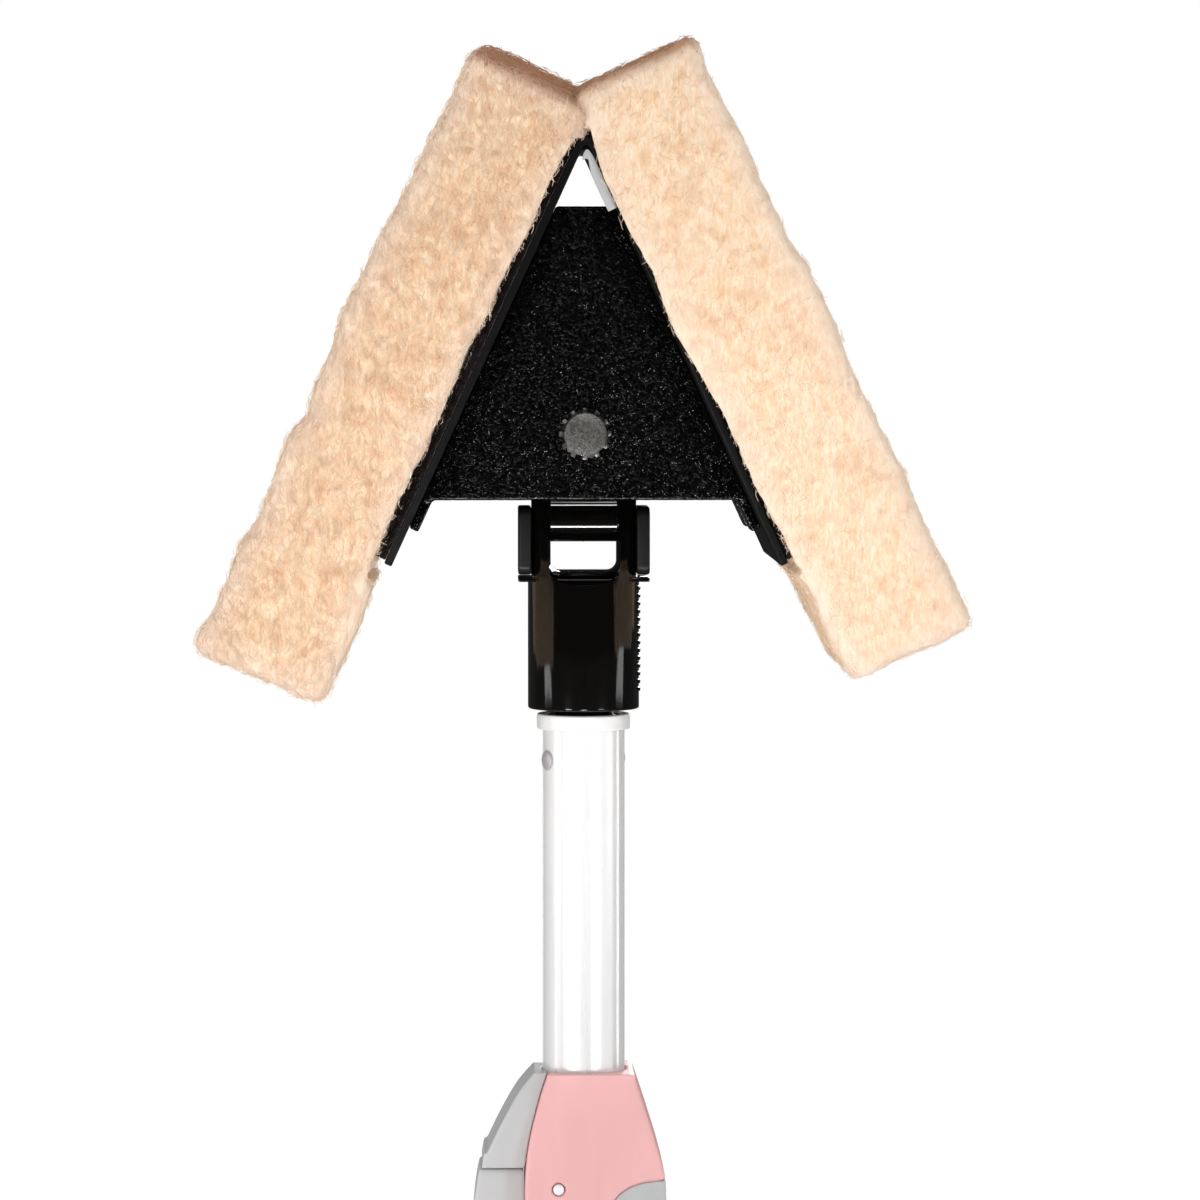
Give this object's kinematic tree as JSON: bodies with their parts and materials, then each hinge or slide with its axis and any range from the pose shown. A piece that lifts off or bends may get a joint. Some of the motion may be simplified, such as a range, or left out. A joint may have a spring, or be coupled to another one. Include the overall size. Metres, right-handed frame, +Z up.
{
  "type": "pole drywall sander",
  "caption": "Inside-corner sanding head with thick fibre pads on a V plate, swivelling on a short telescopic pole with a cam-lever clamp.",
  "frame": {"origin": "centre of the underside of the pole's end cap, on the pole's axis", "axes": "+Z up along the pole, +X across the two pads to the right seen from the bolt's head, +Y from the bolt's head to its nut, along the corner that the pads sand"},
  "size_m": [0.2304, 0.1, 0.705],
  "materials": {
    "pad_fibre": "coarse non-woven fibre, matt",
    "hook_tape": "dense hook tape, matt",
    "black_plate": "smooth semi-gloss black",
    "textured_black": "coarse textured powder coat",
    "stainless": "bright stainless fastener",
    "black_rivet": "painted over with the bracket",
    "gloss_black": "moulded, glossy black",
    "pale_tube": "pale satin, drawn",
    "pale_ring": "pale satin",
    "pink_plastic": "moulded, semi-gloss",
    "grey_plastic": "moulded, satin",
    "grey_soft": "soft overmoulded rubber",
    "grip_rubber": "soft ribbed grip",
    "inner_plastic": "moulded black",
    "steel": "plain steel"
  },
  "bodies": {
    "lower_pole": {"end_cap": "grey_plastic", "lower_tube": "pale_tube", "hand_grip": "grip_rubber", "clamp_body": "pink_plastic", "clamp_inset": "grey_soft", "clamp_shoulder": "grey_plastic", "clamp_liner": "inner_plastic", "clamp_stud": "steel", "lever_pin": "steel"},
    "lever": {"cam_lever": "grey_plastic"},
    "upper_pole": {"upper_tube": "pale_tube", "guide_bush": "inner_plastic", "tip_ring": "pale_ring", "pole_tip": "inner_plastic", "tip_rivet_left": "steel", "tip_rivet_right": "steel", "fork_sleeve": "gloss_black", "cross_pin": "steel", "pivot_cap_left": "gloss_black", "pivot_cap_right": "gloss_black"},
    "swivel": {"swivel_block": "gloss_black"},
    "head": {"v_plate": "black_plate", "hook_tape_left": "hook_tape", "hook_tape_right": "hook_tape", "pad_left": "pad_fibre", "pad_right": "pad_fibre", "bracket_front": "textured_black", "bracket_rear": "textured_black", "rivet_front_left_low": "black_rivet", "rivet_front_left_high": "black_rivet", "rivet_front_right_low": "black_rivet", "rivet_front_right_high": "black_rivet", "rivet_rear_left_low": "black_rivet", "rivet_rear_left_high": "black_rivet", "rivet_rear_right_low": "black_rivet", "rivet_rear_right_high": "black_rivet", "pivot_bolt": "stainless", "star_washer": "stainless", "flat_washer": "stainless", "lock_nut": "stainless", "spacer_front": "steel", "spacer_rear": "steel"}
  },
  "joints": [
    {"name": "lever_open", "type": "hinge", "parent": "lower_pole", "child": "lever", "pos_m": [-0.0245, 0, 0.312], "axis": [0, -1, 0], "range_deg": [0, 95]},
    {"name": "pole_slide", "type": "slide", "parent": "lower_pole", "child": "upper_pole", "axis": [0, 0, 1], "range_m": [-0.09, 0.18]},
    {"name": "head_pitch", "type": "hinge", "parent": "upper_pole", "child": "swivel", "pos_m": [0, 0, 0.5602], "axis": [1, 0, 0], "range_deg": [-45, 45]},
    {"name": "head_tip", "type": "hinge", "parent": "swivel", "child": "head", "pos_m": [0, 0, 0.587], "axis": [0, 1, 0], "range_deg": [-30, 30]}
  ]
}
